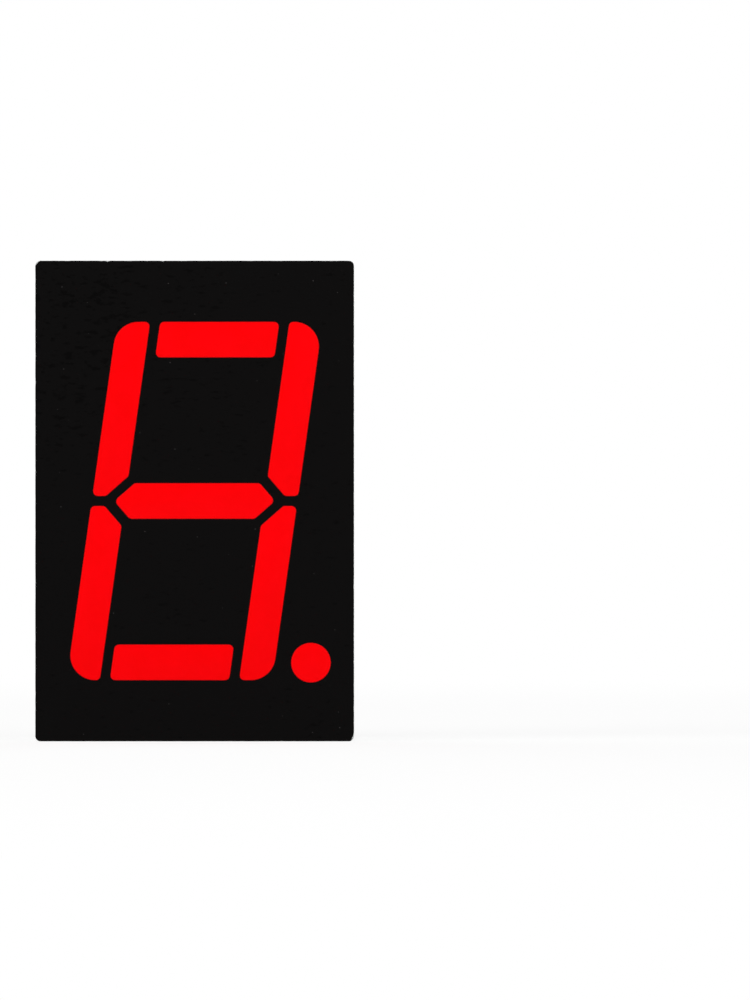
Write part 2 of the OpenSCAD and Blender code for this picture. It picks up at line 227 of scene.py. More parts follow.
def newFinish(name):
    finish = bpy.data.materials.new(name)
    finish.use_nodes = True
    finish.node_tree.nodes.clear()
    return finish, Wire(finish.node_tree)


def inMillimetres(wire):
    place = wire.node("TexCoord", output="Object")
    return wire.node("VectorMath", {"operation": "SCALE"}, {"Vector": place, "Scale": 1 / mm})


def acrossAndUp(place):
    # the place on the face, with nothing in depth
    parts = place.node("SeparateXYZ", {}, [place])
    return parts, parts.other("Z"), place.node("CombineXYZ", {}, [parts, parts.other("Z"), 0])


def cloud(place, size, detail):
    return place.node("TexNoise", {}, {"Vector": place, "Scale": 1 / size, "Detail": detail})


def lengthOf(place):
    return place.node("VectorMath", {"operation": "LENGTH"}, [place], output="Value")


def distanceTo(place, x, z):
    return place.node("VectorMath", {"operation": "DISTANCE"}, [place, (x, z, 0)], output="Value")


def attribute(wire, name):
    return wire.node("Attribute", {"attribute_name": name}, output="Fac")


def line(distance, width):
    # 1 where the distance is 0, and 0 from that width on
    return 1 - abs(distance).smooth(0, width)


def specks(place, cell, radius, share):
    # round dots of up to that radius, in that share of the cells
    dots = place.node("TexVoronoi", {"voronoi_dimensions": "2D"}, {"Vector": place, "Scale": 1 / cell})
    chance = place.node("SeparateColor", {}, [dots.other("Color")])
    size = radius / cell * (0.5 + 0.5 * chance.other("Green"))
    return (chance < share) * (1 - (dots / size).smooth(0.5, 1))


def bump(height, depth, strength):
    return height.node("Bump", {}, {"Strength": strength, "Distance": depth, "Height": height})


def surface(wire, sockets):
    return wire.node("OutputMaterial", {}, [wire.node("BsdfPrincipled", {}, sockets)])


# finishes

tints = {
    "plastic": [(0.752, 0.775, 0.76), (0.772, 0.793, 0.779)],
    "smudge": (0.2, 0.2, 0.2),
    "dirt": (0.08, 0.06, 0.05),
    "ink": (0.0025, 0.0022, 0.0022),
    "inkMarks": (0.0012, 0.001, 0.001),
    "inkDust": (0.13, 0.12, 0.12),
    "red": [(0.98, 0, 0.0014), (1, 0, 0.002)],
    # painted shade on the sunken rims of the castings
    "redRimShade": (0.36, 0.012, 0.012),
    "pinTin": (0.46, 0.46, 0.45),
    "solder": (0.4, 0.4, 0.41),
    "copper": [(0.8, 0.42, 0.26), (0.42, 0.2, 0.12)],
    "laminate": [(0.01, 0.012, 0.016), (0.02, 0.024, 0.03)],
    "crystal": [(0.5, 0.2, 0.03), (0.65, 0.3, 0.05)],
    "gold": [(0.9, 0.6, 0.2), (1, 0.74, 0.32)],
}


def plasticFinish():
    finish, wire = newFinish("whitePlastic")
    place = inMillimetres(wire)
    mottle = cloud(place, 1.6, 3)
    fine = cloud(place, 0.12, 3)
    x, z, flat = acrossAndUp(place)
    dirt = specks(flat, 1.7, 0.03, 0.16)
    shade = mottle.smooth(0.3, 0.7).blend(*tints["plastic"])
    # smudges along the inner edge of the top wall, mostly near its ends
    fromEdge = z - resinHigh.z / mm
    atEdge = fromEdge.smooth(0.26, 0.02) * (fromEdge > -pickSlack / mm)
    alongWall = abs(x).smooth(1.5, 4) * (abs(x) < bodyHigh.x / mm - 0.15)
    onRim = x.other("Y").smooth(rimY / mm - 0.9, rimY / mm - 0.7)
    smudge = cloud(place, 0.6, 4).smooth(0.46, 0.62) * atEdge * alongWall * onRim
    shade = (0.5 * smudge).blend(shade, tints["smudge"])
    surface(wire, {
        "Base Color": (dirt * 0.7).blend(shade, tints["dirt"]),
        "Roughness": 0.45 + 0.14 * fine,
        "Specular IOR Level": 0.2,
        "Normal": bump(fine + mottle, 0.004 * mm, 0.5),
    })
    return finish


def inkFinish():
    finish, wire = newFinish("blackInk")
    place = inMillimetres(wire)
    _, _, flat = acrossAndUp(place)
    stretched = wire.node("Mapping", {}, {"Vector": place, "Scale": (0.4, 1, 1)})
    # the marks gather towards the upper left corner
    nearCorner = 1 - distanceTo(flat, bodyLow.x / mm + 1, bodyHigh.z / mm - 2).smooth(2, 9)
    thin = cloud(stretched, 0.13, 3)
    mark = (thin + 0.1 * nearCorner + 0.12 * cloud(place, 3, 1)).smooth(0.7, 0.78)
    grain = cloud(place, 0.05, 2)
    dust = specks(flat, 1.1, 0.025, 0.3)
    black = mark.blend(tints["ink"], tints["inkMarks"])
    surface(wire, {
        "Base Color": (dust * 0.4).blend(black, tints["inkDust"]),
        "Roughness": 0.42 + 0.2 * mark + 0.08 * grain,
        "Specular IOR Level": 0.03,
        "Normal": bump(grain + mark, 0.002 * mm, 0.4),
    })
    return finish


def epoxyFinish():
    finish, wire = newFinish("redEpoxy")
    place = inMillimetres(wire)
    haze = cloud(place, 0.7, 2)
    grain = cloud(place, 0.04, 2)
    # painted shade on the sunken rim of each casting
    rim = attribute(wire, "rim")
    red = haze.smooth(0.3, 0.7).blend(*tints["red"])
    surface(wire, {
        "Base Color": rim.blend(red, tints["redRimShade"]),
        "Roughness": 0.3 + 0.1 * grain,
        "Specular IOR Level": 0.03,
        "Normal": bump(grain + haze, 0.002 * mm, 0.4),
    })
    return finish


# the resin's colours; a list runs from the first place in its note to the last
resinTints = {
    "middle": (0.0003, 0.0009, 0.0022),
    # the frame and the far side are lighter with painted light from the white walls
    "frame": [(0.008, 0.0105, 0.02), (0.009, 0.0105, 0.017)],  # low, top
    "farSide": [(0.009, 0.013, 0.024), (0.018, 0.025, 0.042)],  # clear, foggy
    # a painted dark reflection in the middle, and its pale edge
    "darkReflection": (0.0001, 0.0002, 0.0006),
    "darkReflectionBorder": (0.011, 0.012, 0.015),
    "besideFlow": (0.0125, 0.011, 0.0135),
    # the streaks of the flow line, a painted reflection that whitens towards the bottom
    "flowPaleReflection": [(0.04, 0.044, 0.057), (0.5, 0.55, 0.6), (0.95, 0.98, 1)],  # top, low, lowest
    "flowDarkReflection": [(0.013, 0.013, 0.018), (0.22, 0.26, 0.31), (0.72, 0.79, 0.86)],  # top, low, lowest
    "flowStep": (0.045, 0.054, 0.07),
    "flowDots": (0.012, 0.016, 0.022),
    "flowThread": (0.022, 0.027, 0.045),
    "flowEdges": (0.002, 0.0025, 0.004),
    # a painted reflection in the corner
    "cornerReflection": (0.42, 0.48, 0.58),
    "cornerFoot": (0.58, 0.65, 0.66),
    # the bluish further out on a mound is a painted reflection
    "mound": [(0.0045, 0.0035, 0.003), (0.0085, 0.011, 0.02)],  # at the pin, further out
    "moundGrit": (0.03, 0.027, 0.023),
    "moundLine": (0.02, 0.023, 0.031),
    "cornerRing": [(0.5, 0.56, 0.62), (0.74, 0.8, 0.82)],  # upper, lower part
    # painted light from the white walls, ribs and corner, and a painted reflection of the lamps at the far
    # wall
    "wallGlow": (0.15, 0.164, 0.195),
    "farWallReflection": (0.42, 0.46, 0.5),
    "cornerGlow": (0.24, 0.24, 0.24),
    "floorGlow": (0.22, 0.24, 0.28),
    "ribGlow": (0.42, 0.44, 0.46),
    "ribRing": (0.25, 0.28, 0.32),
    # a painted highlight
    "wispHighlight": (0.4, 0.43, 0.47),
    # painted shade round the top pins, and a painted reflection ring
    "topPinShade": (0.003, 0.0035, 0.006),
    "pinRingReflection": (0.02, 0.028, 0.05),
    # a painted reflection of the top pins
    "pinStreakReflection": (0.003, 0.0035, 0.005),
    "pinSliverReflection": (0.26, 0.28, 0.3),
    "plug": (0.027, 0.027, 0.031),
    # painted light round each post end
    "postGlow": (0.35, 0.34, 0.33),
    "post": [(0.6, 0.61, 0.61), (0.5, 0.51, 0.515)],  # middle, edge
    # a painted dark reflection in the bubble's pit
    "bubble": (0.0003, 0.0003, 0.0005),
    "dust": (0.4, 0.42, 0.46),
}

# where its marks lie, in millimetres: from where they start to where they are strongest
resinMarks = {
    "frameSide": (3.8, 4.35),
    "frameTop": (6, 6.9),
    "frameFoot": (-6.6, -7.6),
    "topTint": (5, 7),
    "darkReflectionBorder": (-6.2, -2),
    "flowTop": (7.4, 6),
    "flowLow": (-4.3, -6.6),
    "flowLowest": (-5.9, -6.9),
    "flowNarrow": (-6, -7.2),
    "flowEdges": (7.3, 6.9),
    "flowThread": (6.9, 7.2),
    "flowDots": (-7, -6, -4.8, -4.2),  # with four, from where they are weakest again
    "stepUp": (-6, -5.9, -5.2, -5.1),
    "stepAcross": (-3, -3.5),
    "cornerUp": (-7.2, -6.7, -6.6, -4.4),
    "cornerWide": (-5.6, -6.8),
    "cornerFoot": (-7.9, -8.5),
    "ringAcross": (-3.6, -3.9),
    "ringFoot": (-7.6, -8.3),
    "wispAcross": (-3.8, 3.9),
    "wispUp": -8.15,
    "streakAcross": 3.5,
    "streakUp": 0.6,  # above the top pins' middles
}


def frameShade(x, z, fog, farSide):
    # nearly black, and bluish in a frame along the walls and lighter beyond the flow line, both painted light
    # from the white walls
    near = z.smooth(*resinMarks["topTint"]).blend(*resinTints["frame"])
    far = fog.smooth(0.3, 0.7).blend(*resinTints["farSide"])
    hazy = 0.7 * (fog - 0.5)
    inFrame = (x + hazy).smooth(*resinMarks["frameSide"])
    for end in ("frameTop", "frameFoot"):
        inFrame = inFrame.most((z + hazy).smooth(*resinMarks[end]))
    return inFrame.most(farSide).blend(resinTints["middle"], farSide.blend(near, far))


def darkReflectionOver(shade, z, darkReflectionEdge, darkReflection):
    # a painted dark reflection in the middle, with a thin pale edge
    shade = (0.8 * darkReflection).blend(shade, resinTints["darkReflection"])
    return (line(darkReflectionEdge, 0.05) * z.smooth(*resinMarks["darkReflectionBorder"])).blend(shade, resinTints["darkReflectionBorder"])


def flowBand(z, streak):
    # painted reflection: pale and dark streaks, which grow whiter towards the bottom
    low, lowest = z.smooth(*resinMarks["flowLow"]), z.smooth(*resinMarks["flowLowest"])
    bands = []
    for top, below, bottom in (resinTints["flowDarkReflection"], resinTints["flowPaleReflection"]):
        bands.append(lowest.blend(low.blend(top, below), bottom))
    return streak.smooth(0.4, 0.6).blend(*bands)


def flowOver(shade, place, x, z, flat, fog, beside, darkReflectionEdge):
    # the flow line: brownish beside it, painted reflection streaks in it, rows of dots and thin dark lines
    towards = (-beside - resin["flowWidth"]).fade(0.6) * beside.smooth(0.1, 0)
    shade = (towards * (0.4 + 0.6 * fog)).blend(shade, resinTints["besideFlow"])
    step = z.within(*resinMarks["stepUp"]) * x.smooth(*resinMarks["stepAcross"])
    step *= darkReflectionEdge.smooth(0.1, 0.3) * beside.smooth(-0.5, -0.6)
    shade = (step * (0.5 + 0.7 * fog)).blend(shade, resinTints["flowStep"])
    drawn = place.node("Mapping", {}, {"Vector": place, "Scale": (1, 1, 0.12)})
    inFlow = beside.within(-0.58, -0.46, -0.03, 0.02) * z.smooth(*resinMarks["flowTop"])
    shade = inFlow.blend(shade, flowBand(z, cloud(drawn, 0.16, 3)))
    dotted = (line(beside + 0.15, 0.13) + line(beside + 0.45, 0.1)) * z.within(*resinMarks["flowDots"])
    shade = (dotted * specks(flat, 0.1, 0.042, 0.8)).blend(shade, resinTints["flowDots"])
    thread = line(beside + 0.12, 0.07) * z.smooth(*resinMarks["flowThread"])
    shade = (0.8 * thread).blend(shade, resinTints["flowThread"])
    edges = line(beside + 0.005, 0.045) + 0.7 * line(beside + 0.33, 0.035)
    return (0.85 * edges * z.smooth(*resinMarks["flowEdges"])).blend(shade, resinTints["flowEdges"])


def cornerOver(shade, z, fog, beside, farSide):
    # a painted reflection between the flow line and the corner pin's mound, and the greenish foot of the wall
    # below it
    reach = 0.15 + 0.8 * z.smooth(*resinMarks["cornerWide"])
    pale = z.within(*resinMarks["cornerUp"]) * (beside - reach + 0.5 * (fog - 0.5)).smooth(0.25, -0.25)
    shade = (pale * farSide).blend(shade, resinTints["cornerReflection"])
    return (z.smooth(*resinMarks["cornerFoot"]) * farSide).blend(shade, resinTints["cornerFoot"])


def moundsOver(shade, place, x, z, fog, mound):
    # the mounds: brownish round the pin, bluish further out as a painted reflection, a thin outline and a
    # pale ring at the corner
    ringed = mound.smooth(0.3, 0.62).blend(*resinTints["mound"])
    shade = mound.smooth(1, 0.93).blend(shade, ringed)
    grit = cloud(place, 0.09, 3).smooth(0.5, 0.72) * mound.smooth(0.72, 0.3)
    shade = (0.6 * grit).blend(shade, resinTints["moundGrit"])
    shade = (line(mound - 1.09, 0.05) * (0.5 + 0.5 * fog)).blend(shade, resinTints["moundLine"])
    ring = line(mound - 1.12, 0.22) * x.smooth(*resinMarks["ringAcross"])
    return ring.blend(shade, z.smooth(*resinMarks["ringFoot"]).blend(*resinTints["cornerRing"]))


def glowOver(shade, x, z, flat, farSide):
    # painted light: the white walls and ribs shine through beside them, lighter at the corner and the bottom
    # wall, with rings round the ribs, and a painted reflection of the lamps beside the far wall
    sideGap = resinHigh.x / mm - abs(x)
    wallGap = sideGap.least(resinHigh.z / mm - abs(z))
    shade = (wallGap.fade(0.25) * (1 - farSide)).blend(shade, resinTints["wallGlow"])
    farReflection = (sideGap - 0.2).fade(0.2) * (1 - 0.4 * z.smooth(*resinMarks["topTint"]))
    shade = (0.9 * farReflection * farSide).blend(shade, resinTints["farWallReflection"])
    cornerGap = distanceTo(flat, resinHigh.x / mm, resinHigh.z / mm)
    shade = (0.5 * cornerGap.fade(0.45)).blend(shade, resinTints["cornerGlow"])
    floorGap = resinHigh.z / mm + z
    floorGlow = 0.6 * (floorGap - 0.15).fade(0.18) + 0.09 * floorGap.smooth(0.9, 0.6)
    shade = floorGlow.blend(shade, resinTints["floorGlow"])
    mirrored = x.node("CombineXYZ", {}, [abs(x), z, 0])
    for step in resin["ribSteps"]:
        fromRib = distanceTo(mirrored, resinHigh.x / mm, step * resin["ribPitch"] / mm)
        ribGap = fromRib - resin["ribRadius"] / mm
        shade = (0.8 * ribGap.fade(0.14)).blend(shade, resinTints["ribGlow"])
        shade = (0.35 * line(ribGap - 0.3, 0.1) * farSide).blend(shade, resinTints["ribRing"])
    return shade


def pinMarksOver(shade, x, z, fog):
    # across from the middle of the nearest pin's mound or painted shade
    aside, above = (part / mm for part in resin["moundAside"])
    halfPitch = resin["pinPitch"] / mm / 2
    local = x.maths("WRAP", x - aside, halfPitch, -halfPitch)

    # a painted highlight: a pale wisp beside each mound, where its skirt runs into the climb at the bottom
    # wall
    start, end = resinMarks["wispAcross"]
    along = local.smooth(1.05, 0.15)
    wispHighlight = line(z - resinMarks["wispUp"] + 0.36 * along, 0.06) * along * local.smooth(0.08, 0.2)
    shade = (0.8 * wispHighlight * (x > start) * (x < end)).blend(shade, resinTints["wispHighlight"])

    # painted shade round each pin of the top row, with a thin bluish ring as a painted reflection
    topRow = max(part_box(name)[0].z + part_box(name)[1].z for name in pinNames) / 2 / mm
    gap = lengthOf(x.node("CombineXYZ", {}, [local, z - topRow - above, 0]))
    shade = (0.7 * gap.smooth(0.62, 0.42)).blend(shade, resinTints["topPinShade"])
    ring = line(gap - 0.64, 0.1) * local.smooth(-0.25, 0.3) * (0.3 + 0.7 * fog)
    shade = (0.9 * ring).blend(shade, resinTints["pinRingReflection"])

    # over the middle ones a painted reflection of the pin: a dark streak comes down from the wall, with a
    # light sliver in it
    up = z - topRow - resinMarks["streakUp"]
    overPin = (abs(x) < resinMarks["streakAcross"]) * up.smooth(-0.1, 0.1)
    bent = local + 0.2 * (fog - 0.5)
    shade = (0.75 * overPin * line(bent, 0.1 + 0.4 * up)).blend(shade, resinTints["pinStreakReflection"])
    sliverReflection = line(bent - 0.12 * up + 0.05, 0.05) * up.smooth(0.55, 0.35)
    return (0.9 * overPin * sliverReflection).blend(shade, resinTints["pinSliverReflection"])


def seenThrough(shade, flat, fog, darkReflection):
    # what shows dimly through it: the plugs in the board and the posts' ends
    for across, up in resin["flowHoles"]:
        disc = 1 - distanceTo(flat, across / mm, up / mm).smooth(0.7, 1.3)
        shade = (disc * (0.5 + 0.5 * fog) * (1 - 0.5 * darkReflection)).blend(shade, resinTints["plug"])
    for across, up in resin["posts"]:
        gap = distanceTo(flat, across / mm, up / mm)
        # painted light spreading round each post end
        shade = (0.12 * (gap - 0.5).fade(0.16)).blend(shade, resinTints["postGlow"])
        seen = 1 - (gap + 0.25 * (fog - 0.5)).smooth(0.36, 0.66)
        shade = seen.blend(shade, gap.smooth(0.1, 0.4).blend(*resinTints["post"]))
    # the bubble's pit is painted darker, a painted dark reflection
    bubbleGap = distanceTo(flat, *(part / mm for part in resin["bubble"]))
    return bubbleGap.smooth(0.56, 0.5).blend(shade, resinTints["bubble"])


def resinFinish():
    # all places and lengths in these layers are in millimetres
    finish, wire = newFinish("darkEpoxy")
    place = inMillimetres(wire)
    x, z, flat = acrossAndUp(place)
    fog = cloud(place, 0.9, 3)
    # the flow line is narrower near the bottom, so distances from it are stretched there
    beside = attribute(wire, "besideFlow") * (1 + 0.55 * z.smooth(*resinMarks["flowNarrow"]))
    farSide = beside.smooth(-0.02, 0.1)
    # distance from the edge of the painted dark reflection in the middle
    darkReflectionEdge = attribute(wire, "darkReflectionEdge") + 0.25 * (cloud(place, 0.8, 2) - 0.5)
    darkReflection = 1 - darkReflectionEdge.smooth(-0.03, 0.03)

    shade = frameShade(x, z, fog, farSide)
    shade = darkReflectionOver(shade, z, darkReflectionEdge, darkReflection)
    shade = flowOver(shade, place, x, z, flat, fog, beside, darkReflectionEdge)
    shade = cornerOver(shade, z, fog, beside, farSide)
    shade = moundsOver(shade, place, x, z, fog, attribute(wire, "mound"))
    shade = glowOver(shade, x, z, flat, farSide)
    shade = pinMarksOver(shade, x, z, fog)
    shade = seenThrough(shade, flat, fog, darkReflection)
    shade = (0.6 * specks(flat, 0.95, 0.034, 0.17)).blend(shade, resinTints["dust"])
    surface(wire, {
        "Base Color": shade,
        "Roughness": 0.06 + 0.05 * fog,
        "Specular IOR Level": 0.0,  # all the gloss is in the coat, which is stronger where the resin climbs
        "Coat Weight": attribute(wire, "lift") + 0.06 * (1 - darkReflection),
        "Coat IOR": 1.6,
        "Coat Roughness": 0.04,
        "Normal": bump(fog, 0.01 * mm, 0.3),
    })
    return finish


def tinFinish(name, shade, metallic, lumps):
    # only partly a metal, so that it looks matt grey from every side
    finish, wire = newFinish(name)
    place = inMillimetres(wire)
    drawn = wire.node("Mapping", {}, {"Vector": place, "Scale": (1, 0.15, 1)})
    streak = cloud(drawn, 0.05, 3)
    patch = cloud(place, 0.35, 3)
    dull = tuple(0.8 * part for part in shade)
    surface(wire, {
        "Base Color": patch.smooth(0.35, 0.65).blend(dull, shade),
        "Metallic": metallic,
        "Roughness": 0.4 + 0.15 * streak,
        "Normal": bump(streak + 2 * patch, lumps, 0.6),
    })
    return finish


def copperFinish():
    finish, wire = newFinish("bareCopper")
    place = inMillimetres(wire)
    tarnish = cloud(place, 0.5, 4).smooth(0.4, 0.7)
    surface(wire, {
        "Base Color": tarnish.blend(*tints["copper"]),
        "Metallic": 1.0,
        "Roughness": 0.28 + 0.25 * tarnish,
        "Normal": bump(cloud(place, 0.03, 2), 0.002 * mm, 0.5),
    })
    return finish


def boardFinish():
    finish, wire = newFinish("laminate")
    place = inMillimetres(wire)
    warp = wire.node("TexWave", {}, {"Vector": place, "Scale": 0.9, "Distortion": 0.6})
    weft = wire.node("TexWave", {"bands_direction": "Z"}, {"Vector": place, "Scale": 0.9, "Distortion": 0.6})
    weave = 0.5 * (warp.other("Fac") + weft.other("Fac"))
    surface(wire, {
        "Base Color": weave.blend(*tints["laminate"]),
        "Roughness": 0.35 + 0.2 * weave,
        "Normal": bump(weave, 0.006 * mm, 0.5),
    })
    return finish


def crystalFinish():
    finish, wire = newFinish("ledCrystal")
    place = inMillimetres(wire)
    grain = cloud(place, 0.06, 2)
    surface(wire, {
        "Base Color": grain.blend(*tints["crystal"]),
        "Roughness": 0.12 + 0.1 * grain,
        "Normal": bump(grain, 0.002 * mm, 0.3),
    })
    return finish


def goldFinish():
    finish, wire = newFinish("goldWire")
    place = inMillimetres(wire)
    grain = cloud(place, 0.03, 2)
    surface(wire, {
        "Base Color": grain.blend(*tints["gold"]),
        "Metallic": 1.0,
        "Roughness": 0.18 + 0.1 * grain,
        "Normal": bump(grain, 0.001 * mm, 0.3),
    })
    return finish


# the red castings in the face

cast = {
    "edge": 0.05 * mm,  # how far the rim of a casting sinks in the opening
    "edgeSteps": 3,
    # the rim is painted darker, as painted shade on its slope
    "darkening": 1.5,  # the rim is at its darkest from 1 / 1.5 of that depth on
    "smoothAngle": 35,
}


def castPiece(nodeName, pieceName, finish):
    piece = copyOfNode(nodeName, pieceName)
    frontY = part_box(nodeName)[0].y
    pickFaces(piece, lambda middle, normal: normal.y < -facing and middle.y < frontY + pickSlack)
    bpy.ops.mesh.dissolve_faces()
    bpy.ops.mesh.region_to_loop()
    bpy.ops.mesh.bevel(offset=cast["edge"], segments=cast["edgeSteps"], affect="EDGES")
    shadeSmooth(piece, cast["smoothAngle"])
    # painted shade: the colour of the sunken rim is darkened
    rim = piece.data.attributes.new("rim", "FLOAT", "POINT")
    for index, corner in enumerate(piece.data.vertices):
        rim.data[index].value = min(1, (corner.co.y - frontY) / cast["edge"] * cast["darkening"])
    settle(piece, "red_epoxy", finish, nodeName)


# the white housing, with its rim's edges taken off

shell = {
    "edge": 0.05 * mm,
    "edgeSteps": 3,
    "rimBand": 1.0 * mm,  # only edges this near the feet's tops are worked
    "flatAngle": 1,  # faces within this many degrees of each other are joined
    "sharpAngle": 30,  # sharper turns are edges
}


def shellPiece(finish):
    piece = copyOfNode("housing", "housing_shell")
    bpy.ops.mesh.select_all(action="SELECT")
    bpy.ops.mesh.dissolve_limited(angle_limit=math.radians(shell["flatAngle"]))
    lowest = rimY - shell["rimBand"]

    def onRim(edge):
        high = min(corner.co.y for corner in edge.verts) > lowest
        return high and edge.is_manifold and edge.calc_face_angle() > math.radians(shell["sharpAngle"])

    pickEdges(piece, onRim)
    bpy.ops.mesh.bevel(offset=shell["edge"], segments=shell["edgeSteps"], affect="EDGES")
    shadeSmooth(piece, shell["sharpAngle"])
    settle(piece, "white_plastic", finish, "housing")


# the black print on the face

inkPrint = {
    "step": 0.1 * mm,  # spacing of the points along its edge
    "sideLength": 5 * mm,  # edges longer than this get such points
    "edgeBand": 0.25 * mm,  # points this near the outer edge are moved
    "wander": 0.02 * mm,  # how far the edge wanders inwards
    "wanderSize": 0.35 * mm,
    "finer": 3.1,  # a second wander is that many times as fine
    "coarseShare": 0.7,  # how much the coarse wander counts beside the finer one
    # bites out of the edge, in millimetres: across, up, radius
    "bites": [(-6.3, 9.5, 0.16), (-3.45, 9.53, 0.07), (-1.3, 9.54, 0.08), (6.33, -8.15, 0.07),
              (6.36, -9.02, 0.1), (6.3, -9.42, 0.13), (6.33, -9.25, 0.09)],
    "smoothAngle": 30,
}


def wearEdge(piece, low, high):
    for corner in piece.data.vertices:
        place = corner.co
        sideGap = min(place.x - low.x, high.x - place.x)
        endGap = min(place.z - low.z, high.z - place.z)
        if min(sideGap, endGap) > inkPrint["edgeBand"]:
            continue
        inwards = Vector((-math.copysign(1, place.x), 0, 0))
        if endGap < sideGap:
            inwards = Vector((0, 0, -math.copysign(1, place.z)))
        at = place / inkPrint["wanderSize"]
        worn = inkPrint["coarseShare"] * noise.noise(at) + noise.noise(at * inkPrint["finer"])
        place += inwards * inkPrint["wander"] * max(0, worn)
        for across, up, radius in inkPrint["bites"]:
            away = Vector((place.x - across * mm, 0, place.z - up * mm))
            if away.length < radius * mm:
                place += inwards * (radius * mm - away.length)


def inkPiece(finish):
    piece = copyOfNode("face_ink", "face_print")
    low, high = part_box("face_ink")
    # only the outline of its front is left
    pickFaces(piece, lambda middle, normal: normal.y > -facing)
    bpy.ops.mesh.delete(type="FACE")
    bpy.ops.mesh.select_all(action="SELECT")
    bpy.ops.mesh.region_to_loop()
    bpy.ops.mesh.select_all(action="INVERT")
    bpy.ops.mesh.delete(type="EDGE_FACE")

    # the long straight sides get points to be worn at
    pickEdges(piece, lambda edge: edge.calc_length() > inkPrint["sideLength"])
    bpy.ops.mesh.subdivide(number_cuts=round((high.z - low.z) / inkPrint["step"]))
    deselectAll()
    wearEdge(piece, low, high)
    editPiece(piece)
    bpy.ops.mesh.select_all(action="SELECT")
    bpy.ops.mesh.fill()
    bpy.ops.mesh.select_all(action="SELECT")
    bpy.ops.mesh.extrude_region_move(TRANSFORM_OT_translate={"value": (0, high.y - low.y, 0)})
    bpy.ops.mesh.select_all(action="SELECT")
    bpy.ops.mesh.normals_make_consistent(inside=False)
    shadeSmooth(piece, inkPrint["smoothAngle"])
    settle(piece, "black_ink", finish, "face_ink")


# the pins

tinned = {
    "sides": 48,
    "freeRadius": 0.25 * mm,  # beyond the seating plane
    "tipLength": 0.3 * mm,
    "tipEnd": 0.13 * mm,  # radius of the flat end
    "tipRound": 0.03 * mm,
    "tipRoundSteps": 3,
    "smoothAngle": 40,
}


def pinShape():
    # one pin at the origin's axis, from its root to its tip
    low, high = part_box(pinNames[0])
    rootRadius = (high.x - low.x) / 2
    deselectAll()
    bpy.ops.mesh.primitive_circle_add(
        vertices=tinned["sides"], radius=rootRadius, fill_type="NGON",
        location=(0, low.y, 0), rotation=(math.radians(90), 0, 0))
    piece = bpy.context.object
    bpy.ops.object.transform_apply()
    editPiece(piece)
    bpy.ops.mesh.select_all(action="SELECT")
    # tapered to the seating plane at 0, then straight up to the tip
    stations = [
        (0, tinned["freeRadius"]),
        (high.y - tinned["tipLength"], tinned["freeRadius"]),
        (high.y, tinned["tipEnd"]),
    ]
    atY, radius = low.y, rootRadius
    for nextY, nextRadius in stations:
        bpy.ops.mesh.extrude_region_move(TRANSFORM_OT_translate={"value": (0, nextY - atY, 0)})
        grow = nextRadius / radius
        bpy.ops.transform.resize(value=(grow, 1, grow), center_override=(0, nextY, 0))
        atY, radius = nextY, nextRadius

    def atTip(edge):
        ends = [corner.co for corner in edge.verts]
        level = abs(ends[0].y - ends[1].y) < weldGap
        return level and ends[0].y > high.y - tinned["tipLength"] - pickSlack

    pickEdges(piece, atTip)
    bpy.ops.mesh.bevel(offset=tinned["tipRound"], segments=tinned["tipRoundSteps"], affect="EDGES")
    bpy.ops.mesh.select_all(action="SELECT")
    bpy.ops.mesh.normals_make_consistent(inside=False)
    shadeSmooth(piece, tinned["smoothAngle"])
    return piece


def pinPieces(finish):
    first = pinShape()
    for name in pinNames:
        low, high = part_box(name)
        piece = newPiece("tinned_" + name, first.data.copy())
        editPiece(piece)
        bpy.ops.mesh.select_all(action="SELECT")
        bpy.ops.transform.translate(value=((low.x + high.x) / 2, 0, (low.z + high.z) / 2))
        settle(piece, "tinned_pin", finish, name)
    bpy.data.objects.remove(first)


# the dark resin at the back

